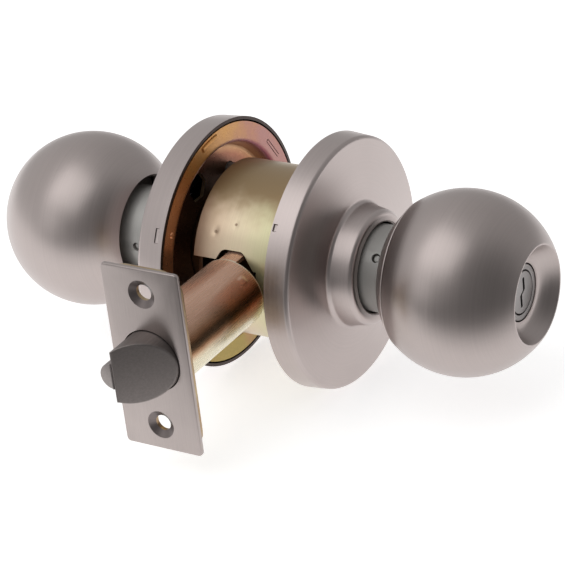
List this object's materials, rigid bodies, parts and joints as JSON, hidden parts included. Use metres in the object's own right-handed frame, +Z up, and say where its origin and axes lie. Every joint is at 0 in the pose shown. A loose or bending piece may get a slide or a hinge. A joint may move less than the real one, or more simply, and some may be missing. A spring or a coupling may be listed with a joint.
{
  "type": "door_knob_set",
  "caption": "Cylindrical door knob set: a keyed ball knob and a ball knob with a turn button on round roses, a chassis drum, and a spring latch with faceplate.",
  "frame": {"origin": "middle of the door's thickness, where the knobs' axis crosses the latch's axis", "axes": "+Y along the knobs' axis to the inside knob, -X along the latch to its bolt, +Z up the door"},
  "size_m": [0.12, 0.1774, 0.0756],
  "materials": {
    "satin_stainless": "satin, warm grey, brushed in circles",
    "yellow_zinc": "yellow passivated zinc plate, cream to iridescent",
    "bronzed_zinc": "rose-brown passivated zinc plate, glossy",
    "dark_sintered_steel": "dark grey, satin",
    "pale_plated_steel": "pale plated steel, fine turned finish",
    "turned_brass": "plain drawn brass"
  },
  "bodies": {
    "chassis": {"chassis_housing": "yellow_zinc", "outside_hub": "yellow_zinc", "inside_hub": "yellow_zinc", "outside_mounting_plate": "yellow_zinc", "inside_mounting_plate": "yellow_zinc", "outside_rose": "satin_stainless", "inside_rose": "satin_stainless", "mounting_screw_upper": "pale_plated_steel", "mounting_screw_lower": "pale_plated_steel", "faceplate": "satin_stainless", "backing_plate": "yellow_zinc", "latch_tube": "bronzed_zinc", "latch_end_guide": "yellow_zinc", "bolt_spring": "pale_plated_steel", "plunger_spring": "pale_plated_steel", "retractor_spring_upper": "pale_plated_steel", "retractor_spring_lower": "pale_plated_steel"},
    "retractor_slide": {"retractor": "yellow_zinc"},
    "bolt": {"latch_bolt": "dark_sintered_steel", "latch_tail": "dark_sintered_steel"},
    "plunger": {"deadlatch_plunger": "dark_sintered_steel"},
    "outside_knob": {"outside_knob_shell": "satin_stainless", "outside_back_ring": "satin_stainless", "outside_neck": "pale_plated_steel", "outside_spindle": "yellow_zinc", "key_cylinder_body": "pale_plated_steel"},
    "outside_catch": {"outside_knob_catch": "pale_plated_steel"},
    "key": {"key_plug": "pale_plated_steel", "cylinder_tailpiece": "turned_brass"},
    "inside_knob": {"inside_knob_shell": "satin_stainless", "inside_neck": "pale_plated_steel", "inside_spindle": "yellow_zinc", "button_bushing": "pale_plated_steel"},
    "inside_catch": {"inside_knob_catch": "pale_plated_steel"},
    "button": {"turn_button": "satin_stainless", "button_rod": "turned_brass", "lock_cam": "dark_sintered_steel"}
  },
  "joints": [
    {"name": "inside_knob_turn", "type": "hinge", "parent": "chassis", "child": "inside_knob", "pos_m": [0, 0, 0], "axis": [0, 1, 0], "range_deg": [0, 60], "stiffness_Nm_per_rad": 0.08, "springref_deg": -5.73},
    {"name": "outside_knob_turn", "type": "hinge", "parent": "chassis", "child": "outside_knob", "pos_m": [0, 0, 0], "axis": [0, 1, 0], "range_deg": [-60, 60]},
    {"name": "retractor_slide", "type": "slide", "parent": "chassis", "child": "retractor_slide", "axis": [1, 0, 0], "range_m": [0, 0.012], "deforming": ["retractor_spring_upper", "retractor_spring_lower"]},
    {"name": "bolt_slide", "type": "slide", "parent": "chassis", "child": "bolt", "axis": [1, 0, 0], "range_m": [0, 0.012], "deforming": ["bolt_spring"]},
    {"name": "plunger_slide", "type": "slide", "parent": "bolt", "child": "plunger", "axis": [1, 0, 0], "range_m": [0, 0.0105], "stiffness_N_per_m": 60, "springref_m": -0.004, "deforming": ["plunger_spring"]},
    {"name": "key_turn", "type": "hinge", "parent": "outside_knob", "child": "key", "pos_m": [0, 0, 0], "axis": [0, 1, 0], "range_deg": [0, 90]},
    {"name": "button_turn", "type": "hinge", "parent": "inside_knob", "child": "button", "pos_m": [0, 0, 0], "axis": [0, 1, 0], "range_deg": [0, 90]},
    {"name": "outside_catch_press", "type": "slide", "parent": "outside_knob", "child": "outside_catch", "axis": [0.7431, 0, -0.6691], "range_m": [0, 0.0015], "stiffness_N_per_m": 200, "springref_m": -0.001},
    {"name": "inside_catch_press", "type": "slide", "parent": "inside_knob", "child": "inside_catch", "axis": [0.9998, 0, -0.0175], "range_m": [0, 0.0015], "stiffness_N_per_m": 200, "springref_m": -0.001}
  ],
  "couplings": [
    {"joint": "retractor_slide", "follows": "inside_knob_turn", "m_per_rad": 0.011459},
    {"joint": "bolt_slide", "follows": "inside_knob_turn", "m_per_rad": 0.011459}
  ]
}
